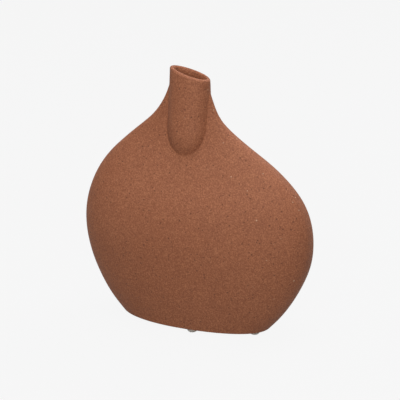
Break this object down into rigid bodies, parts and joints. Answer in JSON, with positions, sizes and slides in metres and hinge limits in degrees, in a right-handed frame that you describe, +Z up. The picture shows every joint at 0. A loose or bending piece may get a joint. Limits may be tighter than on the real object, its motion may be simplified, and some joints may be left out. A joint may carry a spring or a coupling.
{
  "type": "pillow vase",
  "caption": "Flattened terracotta pillow vase with an off-centre oval neck, a slanted mouth, a hollow water space and clear stick-on feet.",
  "frame": {"origin": "under the middle of the vase, on the surface that it stands on", "axes": "+Z up; -Y to the front; X across the broad face, with the neck on the -X side of the middle"},
  "size_m": [0.2167, 0.0822, 0.2399],
  "materials": {
    "terracotta": "matte, unglazed, sandy",
    "clear_bumper": "clear, glossy",
    "clear_adhesive": "clear film"
  },
  "bodies": {
    "root": {"vase_body": "terracotta", "foot_front": "clear_bumper", "foot_back": "clear_bumper", "foot_left": "clear_bumper", "foot_right": "clear_bumper", "adhesive_front": "clear_adhesive", "adhesive_back": "clear_adhesive", "adhesive_left": "clear_adhesive", "adhesive_right": "clear_adhesive"}
  },
  "joints": []
}
